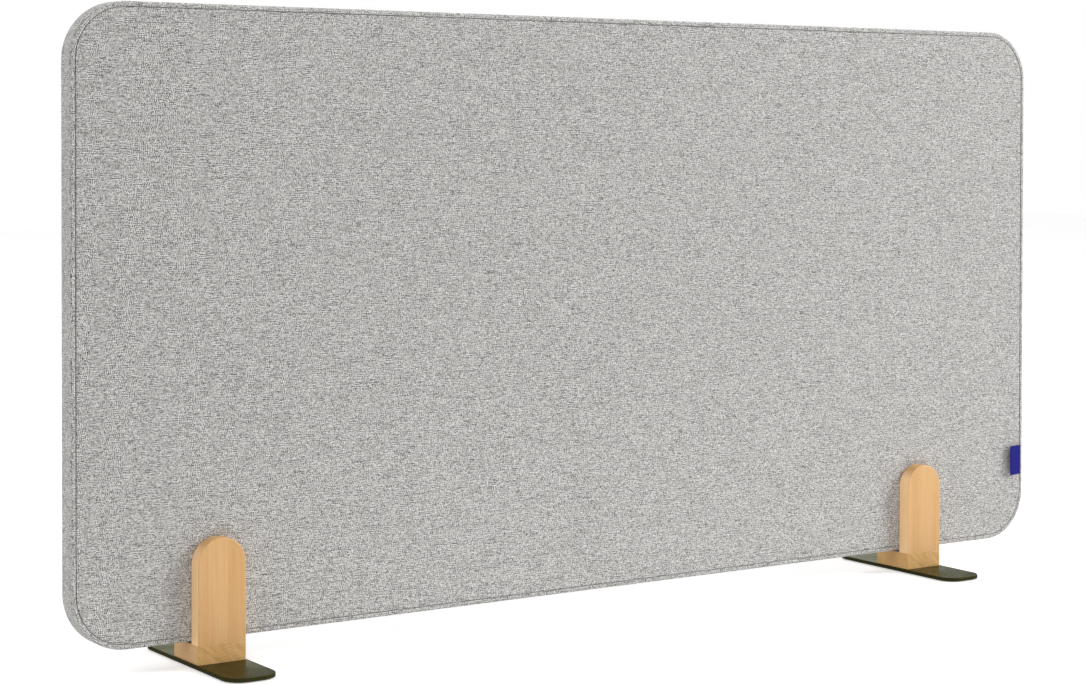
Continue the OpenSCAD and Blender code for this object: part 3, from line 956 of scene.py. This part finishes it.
zipLook = {
    # painted shade where the tape's threads dip under one another
    "tapeDipShade": "5f5f5d",
    "tapePale": "979795",
    "tapeSheen": 0.1,
    "tapeRoughness": (0.95, 0.75),
    "rowPitch": 0.35 * mm,
    "columnPitch": 0.5 * mm,
    "wander": 0.2,
    "threadHeight": 0.1 * mm,
    # painted shade in the gaps between the coil's turns
    "coilGapShade": "3d3d3b",
    "coilPale": "868683",
    "coilRoughness": (0.7, 0.4),
    "coilPitch": 1.3 * mm,
    "coilHeight": 0.3 * mm,
}


def makeZipTape(look):
    material, tree, shader = startMaterial("zipTape", {"Sheen Weight": look["tapeSheen"]})
    relief = useGroup(tree, "threadGrid", {
        "Vector": ownPlace(tree), "Row Pitch": look["rowPitch"], "Column Pitch": look["columnPitch"],
        "Wander": look["wander"]})["Relief"]
    feed(tree, shader, {
        # painted shade where the threads dip, paler on their tops
        "Base Color": mixColours(tree, relief, look["tapeDipShade"], look["tapePale"]),
        "Roughness": stretch(tree, relief, 0, 1, *look["tapeRoughness"]),
        "Normal": bump(tree, relief, look["threadHeight"])})
    return material


# Nylon wound in turns along the zip, with painted shade between the turns
def makeCoil(look):
    material, tree, shader = startMaterial("zipNylon")
    x, y, z = split(tree, ownPlace(tree))
    turn = calc(tree, "FRACT", calc(tree, "DIVIDE", x, look["coilPitch"]))
    turn = calc(tree, "SINE", calc(tree, "MULTIPLY", turn, math.pi))
    feed(tree, shader, {
        "Base Color": mixColours(tree, turn, look["coilGapShade"], look["coilPale"]),
        "Roughness": stretch(tree, turn, 0, 1, *look["coilRoughness"]),
        "Normal": bump(tree, turn, look["coilHeight"])})
    return material


padding = makeGritty("feltedPadding")
frameWood = makeBeech("frameWood", frameWoodLook, frameWoodLook["shift"])
zipMetal = makeGritty("zipMetal")
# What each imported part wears, by the end of its name
finishes = {
    "padding": padding, "core_board": padding, "rail": frameWood, "corner": frameWood, "dowels": frameWood,
    "zip_tapes": makeZipTape(zipLook), "zip_coil": makeCoil(zipLook), "zip_stops": zipMetal,
    "zip_slider": zipMetal, "base_plate": makeBlackSteel(steelLook), "screws": makeGritty("zincScrew"),
    "foot_pads": makeGritty("padRubber"), "slot_pad": makeGritty("slotFelt"),
}
for side, across in (("left", 0.0), ("right", woodLook["rightShift"])):
    low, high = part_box(side + "_base_block")
    finishes[side + "_base_block"] = makeBlock(side + "Block", blockLook, (low + high) / 2)
    for end, along in (("front", 0.0), ("rear", woodLook["rearShift"])):
        name = side + "_" + end + "_upright"
        finishes[name] = makeBeech(side + end.capitalize() + "Beech", woodLook, (across, along, along))
for name, node in nodes.items():
    for ending, material in finishes.items():
        if name.endswith(ending):
            node.data.materials.clear()
            node.data.materials.append(material)
print("finishes: packed parts dressed")

studio = {
    "keyPlace": (4.86, -2.95, 2.75),
    "keySize": (2.5, 2.5),
    "keyPower": 267.0,
    "front": 0.14,  # the room's brightness before the screen
    "back": 0.45,  # and behind it
    "turn": 0.5,  # how far to either side one blends into the other
    "side": 1.06,  # added by the pale wall on the left
    "sideFrom": (-0.84, -0.2, 0.5),
    "sideEdge": 0.5,  # cosine of the angle at which that wall ends
    "lowPlace": (0.0, -0.23, 0.03),  # a long low lamp that stands for light off the desk
    "lowSize": (1.3, 0.05),
    "lowPower": 0.14,
    "topPlace": (-0.1, 0.02, 1.45),  # a soft lamp over the screen
    "topSize": (1.8, 0.4),
    "topPower": 4.2,
    "floorColour": "f7f7f7",
    "floorGlow": 0.48,
    "floorSize": 20.0,
}


# What the camera sees, itself or by way of metal and glass
def seenDirectly(tree):
    path = put(tree, "LightPath").outputs
    seen = calc(tree, "ADD", path["Is Camera Ray"], path["Is Glossy Ray"], clamp=True)
    return calc(tree, "ADD", seen, path["Is Transmission Ray"], clamp=True)


def makeRoom(look):
    world = bpy.data.worlds.new("studio")
    world.use_nodes = True
    scene.world = world
    tree = world.node_tree
    way = put(tree, "TexCoord").outputs["Generated"]
    behind = split(tree, way)[1]
    room = stretch(tree, behind, -look["turn"], look["turn"], look["front"], look["back"], smooth=True)
    wall = vectorCalc(tree, "DOT_PRODUCT", way, look["sideFrom"])["Value"]
    wall = stretch(tree, wall, look["sideEdge"], 1.0, 0, look["side"], smooth=True)
    bright = mixValues(tree, seenDirectly(tree), calc(tree, "ADD", room, wall), 1.0)
    feed(tree, tree.nodes["Background"].inputs, {"Color": "ffffff", "Strength": bright})


def addLamp(name, place, size, power, aim):
    data = bpy.data.lights.new(name, "AREA")
    data.shape = "RECTANGLE"
    data.size, data.size_y = size
    data.energy = power
    lamp = bpy.data.objects.new(name, data)
    lamp.matrix_world = Matrix.Translation(place) @ Vector(aim).to_track_quat("-Z", "Y").to_matrix().to_4x4()
    scene.collection.objects.link(lamp)
    return lamp


def makeLamps(look):
    aim = screen["middle"] - Vector(look["keyPlace"])
    addLamp("key", look["keyPlace"], look["keySize"], look["keyPower"], aim)
    for lamp in (addLamp("lowFill", look["lowPlace"], look["lowSize"], look["lowPower"], (0.0, 1.0, 0.0)),
                 addLamp("topSoft", look["topPlace"], look["topSize"], look["topPower"], (0.0, 0.0, -1.0))):
        lamp.visible_camera = False
        lamp.visible_glossy = False


def makeFloor(look):
    half = look["floorSize"] / 2
    rim = [(-half, -half, 0), (half, -half, 0), (half, half, 0), (-half, half, 0)]
    mesh = bpy.data.meshes.new("floor")
    mesh.from_pydata(rim, [], [(0, 1, 2, 3)])
    floor = bpy.data.objects.new("floor", mesh)
    scene.collection.objects.link(floor)
    material = bpy.data.materials.new("paleFloor")
    material.use_nodes = True
    tree = material.node_tree
    tree.nodes.clear()
    glow = calc(tree, "MULTIPLY", seenDirectly(tree), look["floorGlow"])
    matt = put(tree, "BsdfDiffuse", {"Color": look["floorColour"]}).outputs[0]
    glow = put(tree, "Emission", {"Color": "ffffff", "Strength": glow}).outputs[0]
    both = put(tree, "AddShader", {0: matt, 1: glow}).outputs[0]
    put(tree, "OutputMaterial", {"Surface": both})
    mesh.materials.append(material)


makeRoom(studio)
makeLamps(studio)
makeFloor(studio)
scene.view_settings.view_transform = "Standard"
print("studio: lit")
